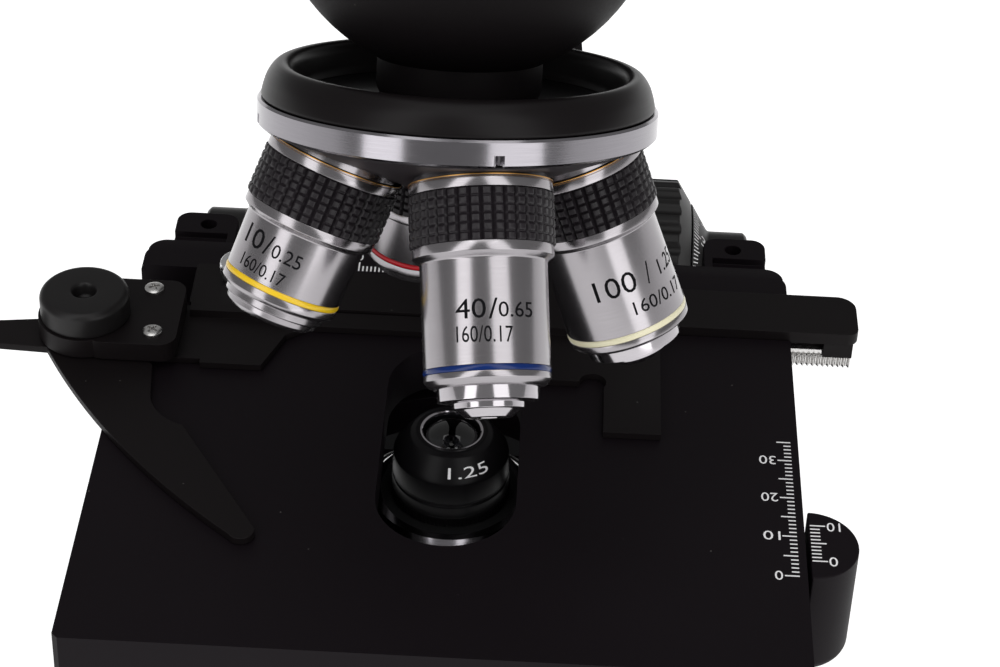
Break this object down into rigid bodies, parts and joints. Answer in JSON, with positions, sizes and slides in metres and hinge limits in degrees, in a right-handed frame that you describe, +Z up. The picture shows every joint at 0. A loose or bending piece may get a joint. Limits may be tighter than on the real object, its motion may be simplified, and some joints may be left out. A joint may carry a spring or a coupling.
{
  "type": "digital microscope",
  "caption": "Compound light microscope with a camera head: reversed revolving nosepiece, mechanical stage with coaxial knobs, focusing condenser and lit base.",
  "frame": {"origin": "where the optical axis meets the underside of the base; the rubber feet reach 3.2 mm lower", "axes": "+Z up along the optical axis; +Y towards the arm and the observer; +X to the right seen from the objectives side, towards the vernier and the stage knobs"},
  "size_m": [0.1617, 0.216, 0.3965],
  "materials": {
    "black_paint": "fine matte texture",
    "black_anodised": "satin black anodised",
    "bright_aluminium": "polished",
    "satin_chrome": "satin",
    "steel": "bright",
    "brass": "machined",
    "black_plastic": "matt",
    "gloss_black": "gloss",
    "rubber": "matt",
    "lens": "coated",
    "lamp": "matt"
  },
  "bodies": {
    "stand": {"base_casting": "black_paint", "base_cover": "black_paint", "rubber_feet": "rubber", "lamp_housing": "black_anodised", "field_lens": "lens", "light_source": "lamp", "switch_frame": "black_plastic", "power_inlet": "black_plastic", "arm": "black_paint", "nose_dome": "black_paint", "nosepiece_pin": "steel"},
    "fine_block": {"fine_block": "brass"},
    "coarse_drive": {"focus_pinion_shaft": "steel", "coarse_knobs": "black_plastic"},
    "fine_drive": {"fine_drive": "black_plastic"},
    "tension_collar": {"tension_collar": "bright_aluminium"},
    "carriage": {"focus_carriage": "black_anodised", "focus_rack": "brass", "lower_plate": "black_paint", "vernier_post": "black_paint", "stage_rack": "steel"},
    "stage_plate": {"top_plate": "black_paint"},
    "y_drive": {"y_drive": "black_plastic"},
    "x_drive": {"x_drive": "black_plastic"},
    "traverse": {"traverse_bar": "black_paint", "traverse_rails": "steel", "traverse_rack": "steel", "slide_holder": "black_paint", "holder_thumbscrews": "bright_aluminium", "clip_bracket": "black_paint", "bracket_screws": "steel", "spring_cap": "black_plastic"},
    "clip": {"slide_clip": "black_paint"},
    "condenser": {"condenser_carrier": "black_anodised", "condenser_body": "black_anodised", "condenser_cell": "black_anodised", "condenser_lens": "lens"},
    "condenser_knob": {"condenser_knob": "black_plastic"},
    "iris": {"iris_lever": "bright_aluminium"},
    "filter": {"filter_holder": "black_anodised"},
    "turret": {"turret_bezel": "black_paint", "turret_ring": "bright_aluminium", "turret_body": "black_anodised", "objective_4_shell": "satin_chrome", "objective_10_shell": "satin_chrome", "objective_40_shell": "satin_chrome", "objective_100_shell": "satin_chrome", "objective_grips": "black_anodised"},
    "nose_40": {"nose_40": "satin_chrome"},
    "nose_100": {"nose_100": "satin_chrome"},
    "head": {"head_body": "black_paint", "eyepiece_tube": "bright_aluminium", "camera_body": "black_anodised", "usb_socket": "steel"},
    "eyepiece": {"eyepiece_barrel": "black_anodised", "eyecup": "rubber", "eye_lens": "lens"},
    "head_lock": {"head_lock_screw": "bright_aluminium"},
    "switch": {"switch_rocker": "gloss_black"},
    "dimmer": {"dimmer_dial": "black_plastic"}
  },
  "joints": [
    {"name": "fine_focus_slide", "type": "slide", "parent": "stand", "child": "fine_block", "axis": [0, 0, 1], "range_m": [-0.0005, 0.0005]},
    {"name": "fine_focus_turn", "type": "hinge", "parent": "fine_block", "child": "fine_drive", "pos_m": [0, 0.1153, 0.091], "axis": [1, 0, 0], "range_deg": [-905, 905]},
    {"name": "coarse_focus_slide", "type": "slide", "parent": "fine_block", "child": "carriage", "axis": [0, 0, 1], "range_m": [-0.003, 0.0235]},
    {"name": "coarse_focus_turn", "type": "hinge", "parent": "fine_block", "child": "coarse_drive", "pos_m": [0, 0.1153, 0.091], "axis": [1, 0, 0], "range_deg": [-212, 28]},
    {"name": "tension_turn", "type": "hinge", "parent": "fine_block", "child": "tension_collar", "pos_m": [0.0268, 0.1153, 0.091], "axis": [1, 0, 0], "range_deg": [0, 60]},
    {"name": "stage_y_slide", "type": "slide", "parent": "carriage", "child": "stage_plate", "axis": [0, 1, 0], "range_m": [-0.011, 0.019]},
    {"name": "stage_y_turn", "type": "hinge", "parent": "stage_plate", "child": "y_drive", "pos_m": [0.049, 0.02595, 0.104], "axis": [0, 0, 1], "range_deg": [-262, 152]},
    {"name": "stage_x_slide", "type": "slide", "parent": "stage_plate", "child": "traverse", "axis": [1, 0, 0], "range_m": [-0.0235, 0.0465]},
    {"name": "stage_x_turn", "type": "hinge", "parent": "stage_plate", "child": "x_drive", "pos_m": [0.049, 0.02595, 0.087], "axis": [0, 0, 1], "range_deg": [-636, 322]},
    {"name": "clip_swing", "type": "hinge", "parent": "traverse", "child": "clip", "pos_m": [-0.0673, 0.0193, 0.1389], "axis": [0, 0, -1], "range_deg": [0, 35], "stiffness_Nm_per_rad": 0.02, "springref_deg": -17.19},
    {"name": "condenser_slide", "type": "slide", "parent": "carriage", "child": "condenser", "axis": [0, 0, 1], "range_m": [-0.015, 0]},
    {"name": "condenser_turn", "type": "hinge", "parent": "carriage", "child": "condenser_knob", "pos_m": [-0.021, 0.0935, 0.091], "axis": [1, 0, 0], "range_deg": [-2, 174]},
    {"name": "iris_turn", "type": "hinge", "parent": "condenser", "child": "iris", "pos_m": [0, 0, 0.1139], "axis": [0, 0, 1], "range_deg": [-35, 35]},
    {"name": "filter_swing", "type": "hinge", "parent": "condenser", "child": "filter", "pos_m": [-0.0218, 0, 0.0901], "axis": [0, 0, -1], "range_deg": [0, 95]},
    {"name": "turret_turn", "type": "hinge", "parent": "stand", "child": "turret", "pos_m": [0, 0, 0.2489], "axis": [0, -0.3689, -0.9295], "continuous": true},
    {"name": "nose_40_slide", "type": "slide", "parent": "turret", "child": "nose_40", "axis": [-0.0872, 0.6761, 0.7316], "range_m": [0, 0.002], "stiffness_N_per_m": 1200, "springref_m": -0.001},
    {"name": "nose_100_slide", "type": "slide", "parent": "turret", "child": "nose_100", "axis": [-0.3585, 0.2619, 0.8961], "range_m": [0, 0.002], "stiffness_N_per_m": 1200, "springref_m": -0.001},
    {"name": "head_turn", "type": "hinge", "parent": "stand", "child": "head", "pos_m": [0, 0, 0.3], "axis": [0, 0, 1], "continuous": true},
    {"name": "eyepiece_turn", "type": "hinge", "parent": "head", "child": "eyepiece", "pos_m": [0, 0.002, 0.3133], "axis": [0, 0.7071, 0.7071], "continuous": true},
    {"name": "head_lock_turn", "type": "hinge", "parent": "stand", "child": "head_lock", "pos_m": [-0.03, 0, 0.29], "axis": [-1, 0, 0], "range_deg": [0, 360]},
    {"name": "switch_rock", "type": "hinge", "parent": "stand", "child": "switch", "pos_m": [0.034, 0.1495, 0.0195], "axis": [1, 0, 0], "range_deg": [-8, 8]},
    {"name": "dimmer_turn", "type": "hinge", "parent": "stand", "child": "dimmer", "pos_m": [0.07, 0.092, 0.0195], "axis": [1, 0, 0], "range_deg": [0, 270]}
  ],
  "couplings": [
    {"joint": "coarse_focus_turn", "follows": "coarse_focus_slide", "rad_per_m": -156.25},
    {"joint": "fine_focus_turn", "follows": "fine_focus_slide", "rad_per_m": -31416},
    {"joint": "stage_y_turn", "follows": "stage_y_slide", "rad_per_m": -238.1},
    {"joint": "stage_x_turn", "follows": "stage_x_slide", "rad_per_m": -238.1},
    {"joint": "condenser_turn", "follows": "condenser_slide", "rad_per_m": -200}
  ]
}
